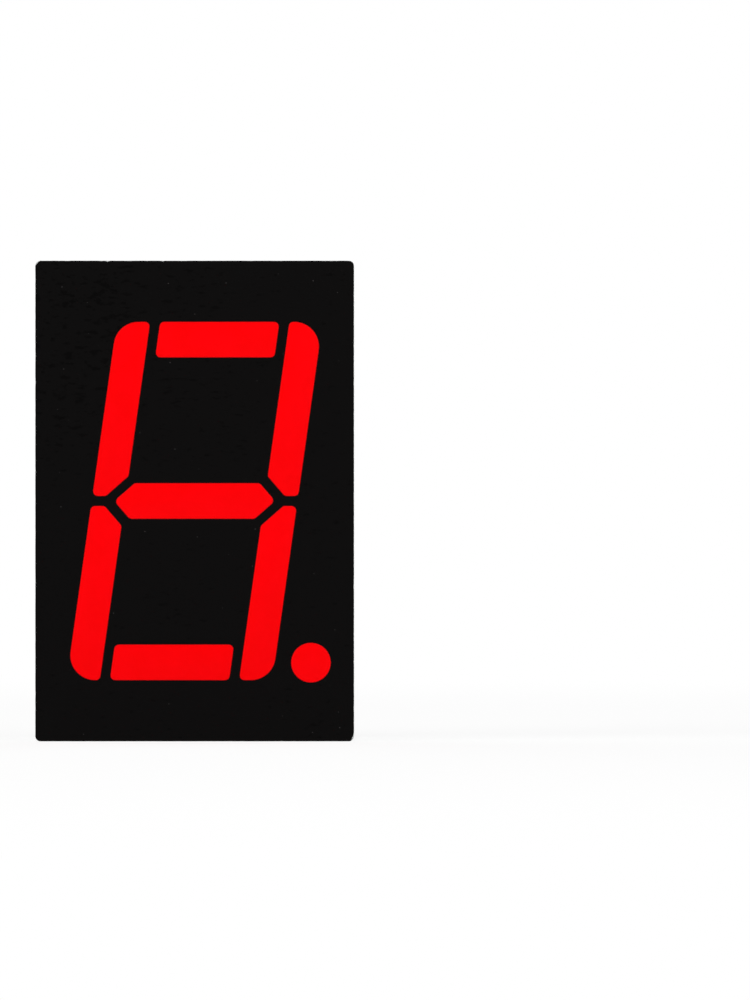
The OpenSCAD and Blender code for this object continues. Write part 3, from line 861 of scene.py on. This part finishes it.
resin = {
    "columns": 214,
    "rows": 334,
    "closeRows": (0.26, 0.17),  # that share of the rows stands in that share of the height, at the mounds
    "intoWalls": 0.1 * mm,  # how far the block reaches into the walls before they are cut away
    "smoothAngle": 50,
    # the climb at walls, ribs and wet pins
    "wallRise": 0.32 * mm,
    "wallFade": 0.45 * mm,  # over this the climb at a wall dies away
    "ribRadius": 0.58 * mm,
    "ribPitch": 3.81 * mm,
    "ribSteps": (-1, 0, 1),  # where the ribs of a wall stand, times the pitch
    "pinPitch": 2.54 * mm,
    "pinRise": 0.2 * mm,  # the climb at a pin of the top row
    "pinFade": 0.16 * mm,
    # the mounds at the lower pins
    "moundAside": (0.16 * mm, 0.2 * mm),  # the lower pins stand out of the middle of their mounds
    "moundRadius": (0.97 * mm, 0.8 * mm, 0.64 * mm),  # most of them, the last pin's and the first pin's
    "moundShoulder": 0.88,  # share of the radius where the mound is steepest
    "moundSteepest": 0.62,
    "domePower": 2.5,
    "meetPower": 3,  # how sharply a mound and the climb beside it meet
    # what lies in it or behind it, and its slight waves
    "posts": [(-1.87 * mm, 6.3 * mm), (3.18 * mm, 0.94 * mm), (2.27 * mm, -5.7 * mm)],
    "flowHoles": [(1.19 * mm, 4.2 * mm), (0.2 * mm, -1.9 * mm)],
    "plugRadius": 1.075 * mm,
    "plugSides": 64,
    "plugOverlap": 0.2 * mm,  # how far a plug reaches past the board
    "bubble": (0.81 * mm, 3.4 * mm),
    "bubbleRadius": 0.54 * mm,
    "bubbleDepth": 0.2 * mm,
    "waveHeight": 0.012 * mm,
    "waveSize": 3.5 * mm,
    # the outer side of a flow line beside the wall, from the top, in millimetres: up, then across
    "flowLine": [(9, -4.2), (7.6, -3.95), (6.8, -4.3), (5.9, -4.4), (4.3, -4.14), (2.2, -4.24), (0, -4.1),
                 (-1.6, -4.06), (-2.3, -4.2), (-4.1, -4.22), (-5.8, -4.57), (-6.3, -4.48), (-6.9, -4.08),
                 (-7.7, -3.97), (-9, -4.25)],
    "flowRounding": (-0.3, -0.1, 0.1, 0.3),  # its corners are rounded by a mean over these heights
    "flowWidth": 0.52,  # in millimetres, too
    "flowHeight": 0.05 * mm,
    # the edge of a painted dark reflection in the middle, in millimetres: across, then up
    "darkReflectionEdge": [(-0.3, -1.95), (-1.1, -2.2), (-2.4, -3.2), (-3.15, -4.9), (-3.3, -5.9), (0, -5.75),
               (1.3, -5.5), (2.0, -4.8), (1.9, -4.3), (0.9, -3.3), (0.5, -2.4)],
    # how much its skin shines at the walls, the mounds, the top pins, the bubble and the flow line
    "shine": (0.12, 0.2, 0.25, 0.04, 0.12),
    "moundShine": (0.3, 0.6, 0.99, 1.05),  # shares of a mound's radius: from none to full, from full to none
    "pinShine": 0.3 * mm,  # full up to there from a pin's middle, and dying away over as much
}


def flowAcross(up):
    # where the outer side of the flow line runs at this height, in millimetres
    points = resin["flowLine"]
    for (upperUp, upperAcross), (lowerUp, lowerAcross) in zip(points, points[1:]):
        if lowerUp <= up <= upperUp:
            share = (upperUp - up) / (upperUp - lowerUp)
            return upperAcross + (lowerAcross - upperAcross) * share
    return points[0][1] if up > points[0][0] else points[-1][1]


def besideFlow(x, z):
    # how far this place lies beyond the flow line, in millimetres
    up = z / mm
    steps = resin["flowRounding"]
    return sum(flowAcross(up + step) for step in steps) / len(steps) - x / mm


def roundedOff(corners):
    # each corner of a closed outline cut off twice, which leaves it round
    for _ in range(2):
        sides = list(zip(corners, corners[1:] + corners[:1]))
        corners = [start.lerp(end, share) for start, end in sides for share in (0.25, 0.75)]
    return corners


def fromDarkReflection(x, z, corners):
    # how far this place lies outside the edge of the painted dark reflection, in millimetres, and below 0
    # inside it
    at = Vector((x / mm, z / mm))
    nearest, inside = math.inf, False
    for start, end in zip(corners, corners[1:] + corners[:1]):
        along = end - start
        share = min(1, max(0, (at - start).dot(along) / along.length_squared))
        nearest = min(nearest, (at - start - along * share).length)
        if (start.y > at.y) != (end.y > at.y) and at.x < start.x + along.x * (at.y - start.y) / along.y:
            inside = not inside
    return -nearest if inside else nearest


def pinPlaces():
    # across, up and the root's radius of each
    boxes = [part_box(name) for name in pinNames]
    return [((low.x + high.x) / 2, (low.z + high.z) / 2, (high.x - low.x) / 2) for low, high in boxes]


def moundRadius(pinX, widest):
    most, last, first = resin["moundRadius"]
    if abs(pinX) < widest - resin["pinPitch"] / 2:
        return most
    return first if pinX > 0 else last


def nearestMound(x, z, pins):
    # how far this place lies from the middle of the nearest mound, as a share of its radius, and that radius
    aside, above = resin["moundAside"]
    widest = max(pinX for pinX, pinZ, _ in pins)
    shares = []
    for pinX, pinZ, _ in pins:
        if pinZ < 0:
            radius = moundRadius(pinX, widest)
            shares.append((math.hypot(x - pinX - aside, z - pinZ - above) / radius, radius))
    return min(shares)


def moundAt(share, radius):
    # a dome that grows steeper up to its shoulder, and a skirt that runs out from there
    shoulder, steepest, power = resin["moundShoulder"], resin["moundSteepest"], resin["domePower"]
    if share >= 1:
        return 0
    if share > shoulder:
        return radius * steepest * (1 - share) ** 2 / (2 * (1 - shoulder))
    skirt = radius * steepest * (1 - shoulder) / 2
    return skirt + radius * steepest * shoulder / power * (1 - (share / shoulder) ** power)


def wallClimb(x, z, pins):
    # 1 at a wall or a rib and less at a wet pin, dying away from there
    left = 1
    for gap in (resinHigh.x - abs(x), resinHigh.z - abs(z)):
        left *= 1 - math.exp(-max(0, gap) / resin["wallFade"])
    for step in resin["ribSteps"]:
        gap = math.hypot(abs(x) - resinHigh.x, z - step * resin["ribPitch"]) - resin["ribRadius"]
        left *= 1 - math.exp(-max(0, gap) / resin["wallFade"])
    for pinX, pinZ, pinRadius in pins:
        if pinZ > 0:
            gap = math.hypot(x - pinX, z - pinZ) - pinRadius
            share = resin["pinRise"] / resin["wallRise"]
            left *= 1 - share * math.exp(-max(0, gap) / resin["pinFade"])
    return 1 - left


def flowAt(beside):
    share = -beside / resin["flowWidth"]
    return resin["flowHeight"] * math.sin(math.pi * share) ** 2 if 0 < share < 1 else 0


def bubbleAt(x, z):
    gap = math.hypot(x - resin["bubble"][0], z - resin["bubble"][1]) / resin["bubbleRadius"]
    return -resin["bubbleDepth"] * (1 - gap * gap) if gap < 1 else 0


def resinHeight(x, z, pins):
    wave = noise.noise(Vector((x, 0, z)) / resin["waveSize"]) * resin["waveHeight"]
    climb = wallClimb(x, z, pins) * resin["wallRise"]
    mound = moundAt(*nearestMound(x, z, pins))
    power = resin["meetPower"]
    both = (climb ** power + mound ** power) ** (1 / power) + flowAt(besideFlow(x, z))
    return min(wave + both, resin["wallRise"]) + bubbleAt(x, z)


def ramp(value, start, end):
    return min(1, max(0, (value - start) / (end - start)))


def liftAt(x, z, pins):
    # how strongly the skin of the resin shines there
    mound, _ = nearestMound(x, z, pins)
    start, full, stillFull, end = resin["moundShine"]
    onMound = ramp(mound, start, full) * ramp(mound, end, stillFull)
    reach = resin["pinShine"]
    gaps = [math.hypot(x - pinX, z - pinZ) - reach for pinX, pinZ, _ in pins if pinZ > 0]
    atPin = min(1, sum(math.exp(-max(0, gap) / reach) for gap in gaps))
    pit = -bubbleAt(x, z) / resin["bubbleDepth"]
    flow = flowAt(besideFlow(x, z)) / resin["flowHeight"]
    parts = (wallClimb(x, z, pins), onMound, atPin, pit, flow)
    return min(1, sum(weight * part for weight, part in zip(resin["shine"], parts)))


def rowAt(share):
    # the rows stand closer together at the mounds
    rowShare, heightShare = resin["closeRows"]
    if share < rowShare:
        return share * (heightShare / rowShare)
    return heightShare + (share - rowShare) * (1 - heightShare) / (1 - rowShare)


def resinBlock(pins):
    # a sheet as high as the resin everywhere, drawn down to the board
    flatY = resinHigh.y - resin["wallRise"]
    deselectAll()
    bpy.ops.mesh.primitive_grid_add(
        x_subdivisions=resin["columns"], y_subdivisions=resin["rows"], size=2,
        location=(0, flatY, 0), rotation=(math.radians(-90), 0, 0))
    piece = bpy.context.object
    piece.name = piece.data.name = "resin_fill"
    halfWidth = resinHigh.x + resin["intoWalls"]
    halfHeight = resinHigh.z + resin["intoWalls"]
    piece.scale = (halfWidth, halfHeight, 1)
    bpy.ops.object.transform_apply()
    for corner in piece.data.vertices:
        share = rowAt((corner.co.z + halfHeight) / (2 * halfHeight))
        corner.co.z = (2 * share - 1) * halfHeight
        corner.co.y = flatY + resinHeight(corner.co.x, corner.co.z, pins)
    editPiece(piece)
    bpy.ops.mesh.select_mode(type="EDGE")
    bpy.ops.mesh.select_non_manifold()
    bpy.ops.mesh.extrude_region_move(TRANSFORM_OT_translate={"value": (0, boardBackY - flatY, 0)})
    bpy.ops.transform.resize(value=(1, 0, 1), center_override=(0, boardBackY, 0))
    bpy.ops.mesh.edge_face_add()
    bpy.ops.mesh.select_all(action="SELECT")
    bpy.ops.mesh.normals_make_consistent(inside=False)
    deselectAll()
    return piece


def resinPlugs():
    # what fills the board's flow holes
    plugs = []
    for across, up in resin["flowHoles"]:
        deselectAll()
        bpy.ops.mesh.primitive_cylinder_add(
            vertices=resin["plugSides"], radius=resin["plugRadius"],
            depth=boardBackY - resinLow.y + resin["plugOverlap"],
            location=(across, (boardBackY + resinLow.y + resin["plugOverlap"]) / 2, up),
            rotation=(math.radians(90), 0, 0))
        plugs.append(bpy.context.object)
        bpy.ops.object.transform_apply()
    return plugs


def joinAndCut(piece, plugs):
    # the plugs are added, and what stands in the resin is cut out of it
    inTheWay = ["housing", "copper_back"] + pinNames
    inTheWay += [name for name in nodes if name.startswith("solder_joint_")]
    cutters = [copyOfNode(name, "cutter_" + name) for name in inTheWay]
    deselectAll()
    for name, operation, others in (("plugs", "UNION", plugs), ("cutters", "DIFFERENCE", cutters)):
        group = bpy.data.collections.new(name)
        for other in others:
            group.objects.link(other)
        modifier = piece.modifiers.new(name, "BOOLEAN")
        modifier.operation = operation
        modifier.operand_type = "COLLECTION"
        modifier.collection = group
        modifier.solver = "MANIFOLD"
    applyModifiers(piece)
    for other in plugs + cutters:
        bpy.data.objects.remove(other)


def resinPiece(finish):
    pins = pinPlaces()
    piece = resinBlock(pins)
    joinAndCut(piece, resinPlugs())

    # what the finish needs to know about each place
    places = [(corner.co.x, corner.co.z) for corner in piece.data.vertices]
    darkReflectionEdge = roundedOff([Vector(corner) for corner in resin["darkReflectionEdge"]])
    for name, measure in (
            ("lift", lambda x, z: liftAt(x, z, pins)),
            ("besideFlow", besideFlow),
            ("mound", lambda x, z: nearestMound(x, z, pins)[0]),
            ("darkReflectionEdge", lambda x, z: fromDarkReflection(x, z, darkReflectionEdge))):
        values = piece.data.attributes.new(name, "FLOAT", "POINT").data
        for value, (x, z) in zip(values, places):
            value.value = measure(x, z)
    shadeSmooth(piece, resin["smoothAngle"])
    settle(piece, "dark_epoxy", finish, "back_potting")
    return piece


# floor, light and camera

stage = {
    "floorSize": 6.0,
    "floorDrop": 0.002 * mm,  # just below the display
    "floorShade": 0.95,
    "whiteShare": 0.8,  # how much of the floor is plain white in view; the rest takes the shadow
    "shadowReach": (0.05, 0.15),  # from here on the share grows, and from there the floor is all white
    "skyForObject": 0.36,  # how strongly the surroundings light the object
}

lamps = {
    # direction as azimuth and elevation seen from the object, distance, width, height, watts
    "frontLeft": (-48, 30, 0.36, 0.2, 0.2, 0.43),
    "frontRight": (40, 22, 0.36, 0.2, 0.2, 0.34),
    "overhead": (20, 80, 0.36, 0.22, 0.22, 0.28),
    "backRight": (135, 14, 0.36, 0.16, 0.16, 0.42),
    "backLeft": (222, 18, 0.36, 0.3, 0.26, 0.36),
    "glintStrip": (128, 24, 0.34, 0.11, 0.26, 4.6),
}
glintsOnly = ["glintStrip"]  # shows in the resin's skin and lights nothing else
glintColour = (0.88, 0.95, 1)

shot = {
    "lens": 400.0,
    "sensor": 36.0,
    "viewHeight": 39.53 * mm,  # what the view takes in from top to bottom, at the face
    "aside": 7.13 * mm,  # the display stands left of the middle
    "up": 0.04 * mm,
}


def seenRays(wire):
    # 1 for what the camera, a mirror or a clear thing sees, 0 for what lights the object
    path = wire.node("LightPath")
    seen = path.other("Is Camera Ray") + path.other("Is Glossy Ray") + path.other("Is Transmission Ray")
    return seen.least(1)


def makeFloor():
    deselectAll()
    bpy.ops.mesh.primitive_plane_add(
        size=stage["floorSize"], location=(0, 0, bodyLow.z - stage["floorDrop"]))
    floor = bpy.context.object
    floor.name = floor.data.name = "floor"
    bpy.ops.object.transform_apply()
    finish, wire = newFinish("floorWhite")
    lit = wire.node("BsdfDiffuse", {}, {"Color": [stage["floorShade"]] * 3 + [1]})
    plain = wire.node("Emission", {}, {"Color": (1, 1, 1, 1), "Strength": 1.0})
    away = lengthOf(wire.node("TexCoord", output="Object"))
    share = stage["whiteShare"] + (1 - stage["whiteShare"]) * away.smooth(*stage["shadowReach"])
    both = wire.node("MixShader", {}, [seenRays(wire) * share, lit, plain])
    wire.node("OutputMaterial", {}, [both])
    floor.data.materials.append(finish)


def makeSky():
    sky = bpy.data.worlds.new("sky")
    sky.use_nodes = True
    sky.node_tree.nodes.clear()
    wire = Wire(sky.node_tree)
    strength = stage["skyForObject"] + (1 - stage["skyForObject"]) * seenRays(wire)
    light = wire.node("Background", {}, {"Color": (1, 1, 1, 1), "Strength": strength})
    wire.node("OutputWorld", {}, [light])
    bpy.context.scene.world = sky


def makeLamps(shiny):
    for name, (azimuth, elevation, distance, width, height, watts) in lamps.items():
        light = bpy.data.lights.new(name, "AREA")
        light.shape = "RECTANGLE"
        light.size, light.size_y = width, height
        light.energy = watts
        lamp = bpy.data.objects.new(name, light)
        bpy.context.scene.collection.objects.link(lamp)
        turn, tilt = math.radians(azimuth), math.radians(elevation)
        way = Vector((math.sin(turn) * math.cos(tilt), -math.cos(turn) * math.cos(tilt), math.sin(tilt)))
        lamp.location = way * distance
        lamp.rotation_euler = way.to_track_quat("Z", "Y").to_euler()
        lamp.visible_camera = False
        if name in glintsOnly:
            light.color = glintColour
            lamp.visible_diffuse = False
            lamp.light_linking.receiver_collection = shiny


def makeCamera():
    lens = bpy.data.cameras.new("camera")
    lens.lens = shot["lens"]
    lens.sensor_width = shot["sensor"]
    camera = bpy.data.objects.new("camera", lens)
    bpy.context.scene.collection.objects.link(camera)
    away = shot["viewHeight"] * shot["lens"] / shot["sensor"]
    camera.location = (shot["aside"], faceY - away, shot["up"])
    camera.rotation_euler = (math.radians(90), 0, 0)
    bpy.context.scene.camera = camera


# putting it together

makeCamera()
makeSky()
shinyPieces = bpy.data.collections.new("shinyPieces")
makeLamps(shinyPieces)
makeFloor()
bpy.context.scene.view_settings.view_transform = "Standard"
print("stage set")

finishes = {
    "white_plastic": plasticFinish(),
    "black_ink": inkFinish(),
    "red_epoxy": epoxyFinish(),
    "dark_epoxy": resinFinish(),
    "board": boardFinish(),
    "copper": copperFinish(),
    "led_crystal": crystalFinish(),
    "gold": goldFinish(),
    "tinned_pin": tinFinish("tinnedPin", tints["pinTin"], 0.6, 0.004 * mm),
    "solder": tinFinish("dullSolder", tints["solder"], 0.8, 0.01 * mm),
}
for node in nodes.values():
    for slot in node.material_slots:
        slot.material = finishes[slot.material.name]
print("finishes made")

shellPiece(finishes["white_plastic"])
print("housing made")
inkPiece(finishes["black_ink"])
print("print made")
for name in segmentNames + ["decimal_point"]:
    castPiece(name, "cast_" + name, finishes["red_epoxy"])
print("red castings made")
pinPieces(finishes["tinned_pin"])
print("pins made")
shinyPieces.objects.link(resinPiece(finishes["dark_epoxy"]))
print("resin made")
deselectAll()
